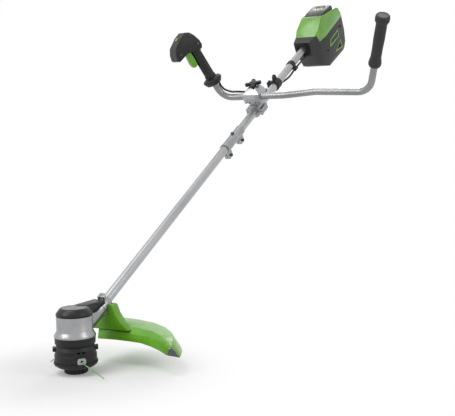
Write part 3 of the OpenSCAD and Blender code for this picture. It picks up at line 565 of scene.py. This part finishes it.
# ---- the pieces ----
class StagePlace(Operator):
    """Camera, floor, lamps and world"""

    bl_idname = "cutter.stage"
    bl_label = "Stage"

    def execute(self, context):
        stage = context.scene.cutter_stage
        azimuth, elevation, roll = (math.radians(a) for a in (29.74, 5.28, -1.33))
        right = Vector((math.cos(azimuth), math.sin(azimuth), 0))
        back = Vector((math.sin(azimuth) * math.cos(elevation),
                       -math.cos(azimuth) * math.cos(elevation), math.sin(elevation)))
        up = back.cross(right)
        camera = bpy.data.cameras.new("camera")
        camera.lens = stage.lens
        camera.clip_end = 50
        holder = bpy.data.objects.new("camera", camera)
        context.scene.collection.objects.link(holder)
        across = right * math.cos(roll) + up * math.sin(roll)
        above = up * math.cos(roll) - right * math.sin(roll)
        turn = Matrix((across, above, back)).transposed().to_4x4()
        holder.matrix_world = Matrix.Translation(stage.camera_at) @ turn
        context.scene.camera = holder
        self.floor(context)
        self.lamps(context, stage.lamp_level)
        self.world(context, stage.lamp_level)
        context.scene.view_settings.view_transform = "Standard"
        return {"FINISHED"}

    def floor(self, context):
        nothing_selected()
        bpy.ops.mesh.primitive_plane_add(size=60, location=(0, 0, 0))
        floor = context.active_object
        floor.name = "floor"
        finish = Finish("floor_paper", 0.9)
        far = finish.place.node("ShaderNodeVectorMath", {"operation": "LENGTH"},
                                {0: finish.place}, 1).smooth(0.12, 0.42)
        tone = finish.noise(0.4, 2.0)
        finish.feed("Base Color", finish.mix(tone, (0.84, 0.84, 0.84), (0.87, 0.87, 0.87)))
        seen = self.seen_rays(finish.tree)
        glow = finish.tree.nodes.new("ShaderNodeEmission")
        blend = finish.tree.nodes.new("ShaderNodeMixShader")
        output = next(n for n in finish.tree.nodes if n.type == "OUTPUT_MATERIAL")
        finish.tree.links.new((seen * (far * 0.8 + 0.2)).socket, blend.inputs[0])
        finish.tree.links.new(finish.shader.outputs[0], blend.inputs[1])
        finish.tree.links.new(glow.outputs[0], blend.inputs[2])
        finish.tree.links.new(blend.outputs[0], output.inputs["Surface"])
        dress(floor, finish.material)

    def seen_rays(self, tree):
        """1 for the rays that show the background, and 0 for those that light the object."""
        path = tree.nodes.new("ShaderNodeLightPath")
        rays = [Sock(tree, path.outputs[name])
                for name in ("Is Camera Ray", "Is Glossy Ray", "Is Transmission Ray")]
        return (rays[0] + rays[1] + rays[2]).clamped()

    def lamps(self, context, level):
        spots = (("key", (-1.6, -2.2, 2.6), 1.5, 42), ("side", (2.6, 0.4, 1.8), 1.2, 14),
                 ("back", (-0.8, 3.6, 2.4), 1.4, 24))
        for name, at, size, power in spots:
            data = bpy.data.lights.new(name, "AREA")
            data.shape = "DISK"
            data.size = size
            data.energy = power * level
            lamp = bpy.data.objects.new(name, data)
            context.scene.collection.objects.link(lamp)
            lamp.location = at
            aim = Vector((0, 0.8, 0.45)) - Vector(at)
            lamp.rotation_euler = aim.to_track_quat("-Z", "Y").to_euler()
        data = bpy.data.lights.new("top", "SUN")
        data.energy = 0.9 * level
        data.angle = math.radians(30)
        lamp = bpy.data.objects.new("top", data)
        context.scene.collection.objects.link(lamp)
        lamp.rotation_euler = Vector((0.28, 0.15, -1)).to_track_quat("-Z", "Y").to_euler()

    def world(self, context, level):
        world = bpy.data.worlds.new("studio")
        world.use_nodes = True
        tree = world.node_tree
        back = next(n for n in tree.nodes if n.type == "BACKGROUND")
        back.inputs["Color"].default_value = (1, 1, 1, 1)
        seen = self.seen_rays(tree)
        tree.links.new((seen * (1 - 0.34 * level) + 0.34 * level).socket,
                       back.inputs["Strength"])
        context.scene.world = world


class CarriedFinishes(Operator):
    """Finishes of the CAD pieces that are shown as they are"""

    bl_idname = "cutter.carried"
    bl_label = "Carried pieces"

    def execute(self, context):
        black = moulded("black_mould", sizes().charcoal, 0.5)
        silver = cast_metal("cast_aluminium", sizes().silver)
        bolt = steel("zinc_steel", (0.5, 0.5, 0.51))
        dark = steel("black_steel", (0.12, 0.12, 0.125), 0.4)
        grey = moulded("grey_mould", (0.16, 0.16, 0.165), 0.45)
        tube = brushed_tube("drawn_tube", scaled(sizes().silver, 1.1))
        cable = cable_skin("cable_sheath", (0.018, 0.018, 0.02))
        finishes = {
            "bump_spring": bolt, "spool": grey, "spindle": bolt, "rotor": dark,
            "rotor_magnets": dark, "motor_bearings": bolt, "housing_screws": bolt,
            "guard_screws": dark, "line_cutter": dark, "clamp_stud": bolt,
            "trigger_pin": bolt, "lower_tube": tube, "upper_tube": tube,
            "coupler_sleeve": silver, "coupler_locator": dark, "clamp_screws": dark,
            "control_screws": dark, "shell_screws": dark, "line_eyelets": silver,
            "bar_clamp_strap": silver, "bar_clamp_base": silver,
            "microswitch": grey, "hand_flange": black, "battery_tray": black,
            "nose_collar": black, "hanger_clamp": black, "cable_clip": black,
            "motor_base_ring": black, "bar_cable": cable, "shaft_cable": cable,
            "motor_lead": cable,
            "handlebar": painted_metal("bar_coat", (0.26, 0.263, 0.268)),
            "windings": wire_windings("enamelled_wire", (0.55, 0.2, 0.06)),
            "stator": laminated("laminations", (0.3, 0.3, 0.31)),
            "battery_terminals": steel("contact_brass", (0.62, 0.45, 0.17)),
            "control_board": circuit_board("solder_resist"),
            "battery_cells": cell_wrap("shrink_film", (0.05, 0.16, 0.38)),
            "cutting_lines": cutting_line("nylon_line", (0.10, 0.34, 0.03)),
            "far_grip": rubber("grip_rubber", (0.013, 0.013, 0.014)),
            "grip_end_cap": grey, "battery_latch": grey, "head_body": black,
            "head_lower_cap": black, "bump_knob": black,
        }
        for node, material in finishes.items():
            dress(NODES[node], material)
        return {"FINISHED"}


class MotorCasing(Operator):
    """Motor housing with its cast bore, the cap over it and the cap's dished disc"""

    bl_idname = "cutter.motor_casing"
    bl_label = "Motor casing"

    def execute(self, context):
        softened("motor_housing", cast_metal("housing_casting", scaled(sizes().silver, 0.92), 0.34),
                 0.0009)
        softened("motor_cap", moulded("cap_mould", scaled(sizes().charcoal, 0.9), 0.42), 0.0012)
        rises = [(0.031, 0.0186), (0.031, 0.0202), (0.0295, 0.0208), (0.026, 0.0202),
                 (0.0245, 0.0196), (0.012, 0.0193), (0.011, 0.0199), (0.0095, 0.0202),
                 (0.001, 0.0202)]
        disc = turned("cap_disc", [(radius, MOTOR_TOP + rise) for radius, rise in rises])
        finish_piece(disc, "motor_cap", moulded("disc_mould", (0.22, 0.22, 0.225), 0.4))
        return {"FINISHED"}


class Guard(Operator):
    """Guard with rounded rims"""

    bl_idname = "cutter.guard"
    bl_label = "Guard"

    def execute(self, context):
        green = moulded("guard_green", sizes().green, 0.36, coat=0.35, edge_highlight_gain=1.5)
        softened("guard", green, 0.0011, 2, 32)
        return {"FINISHED"}


class HandlebarClamp(Operator):
    """Clamp cap and the star knob that closes it"""

    bl_idname = "cutter.bar_clamp"
    bl_label = "Handlebar clamp"

    def execute(self, context):
        softened("bar_clamp_cap", cast_metal("cap_casting", scaled(sizes().silver, 1.15), 0.3),
                 0.0022, 3)
        softened("star_knob", moulded("knob_mould", scaled(sizes().charcoal, 0.8), 0.45),
                 0.0018, 3)
        return {"FINISHED"}


class TriggerGrip(Operator):
    """Trigger grip's two shells, its levers and its power button"""

    bl_idname = "cutter.trigger_grip"
    bl_label = "Trigger grip"

    def execute(self, context):
        shell = moulded("grip_mould", scaled(sizes().charcoal, 1.15), 0.48, edge_highlight_gain=3.0)
        for node in ("control_shell_inner", "control_shell_outer"):
            softened(node, shell, 0.0016, 3)
        green = moulded("lever_green", sizes().green, 0.34, coat=0.4, edge_highlight_gain=1.5)
        for node in ("trigger", "lock_off", "power_button"):
            softened(node, green, 0.0012, 3)
        return {"FINISHED"}


class RearHousing(Operator):
    """Rear shells, the grille in the side windows and the trims"""

    bl_idname = "cutter.rear_housing"
    bl_label = "Rear housing"

    def execute(self, context):
        black = moulded("shell_black", sizes().charcoal, 0.46, edge_highlight_gain=2.4)
        green = moulded("shell_green", sizes().green, 0.34, coat=0.4, edge_highlight_gain=1.5)
        softened("rear_lower_shell", black, 0.0022, 3)
        softened("rear_upper_shell", green, 0.0022, 3)
        softened("side_trims", green, 0.0004, 2)
        bars = []
        for x in (0.0026 - HALF_W, HALF_W - 0.0026):
            for k in range(5):
                start = 0.158 + k * 0.012
                foot = -0.093 - k * 0.0016
                bars.append(block("grille", (x - 0.0012, start, foot),
                                  (x + 0.0012, start + 0.004, -0.083), in_housing(), 0.0005))
        grille = joined("window_grille", bars)
        finish_piece(grille, "rear_lower_shell", black)
        return {"FINISHED"}


class Battery(Operator):
    """Battery pack with its bare label field"""

    bl_idname = "cutter.battery"
    bl_label = "Battery"

    def execute(self, context):
        softened("battery_pack", moulded("pack_black", sizes().charcoal, 0.42), 0.002, 3)
        field = [(-0.024, 0.170), (0.024, 0.170), (0.021, 0.196), (-0.021, 0.196)]
        patch = plate("pack_label", field, PACK_TOP - 0.006, PACK_TOP - 0.0012, in_housing(),
                      0.0004, 0.003)
        finish_piece(patch, "battery_pack",
                     moulded("label_green", (0.32, 0.52, 0.2), 0.4))
        return {"FINISHED"}


CLASSES = (FinishSizes, StageSizes, StagePlace, CarriedFinishes, MotorCasing, Guard,
           HandlebarClamp, TriggerGrip, RearHousing, Battery)
STEPS = [c for c in CLASSES if issubclass(c, Operator)]


class CutterPanel(Panel):
    """Lists the sizes, the colours and the pieces."""

    bl_idname = "VIEW3D_PT_cutter"
    bl_label = "Brush Cutter"
    bl_space_type = "VIEW_3D"
    bl_region_type = "UI"
    bl_category = "Brush Cutter"

    def draw(self, context):
        for group in (context.scene.cutter_finishes, context.scene.cutter_stage):
            for name in group.__annotations__:
                self.layout.prop(group, name)
        for step in STEPS:
            self.layout.operator(step.bl_idname)


def register():
    for item in (*CLASSES, CutterPanel):
        bpy.utils.register_class(item)
    bpy.types.Scene.cutter_finishes = PointerProperty(type=FinishSizes)
    bpy.types.Scene.cutter_stage = PointerProperty(type=StageSizes)


def unregister():
    del bpy.types.Scene.cutter_stage
    del bpy.types.Scene.cutter_finishes
    for item in reversed((*CLASSES, CutterPanel)):
        bpy.utils.unregister_class(item)


def main():
    register()
    for step in STEPS:
        group, name = step.bl_idname.split(".")
        getattr(getattr(bpy.ops, group), name)()


if __name__ == "__main__":
    main()
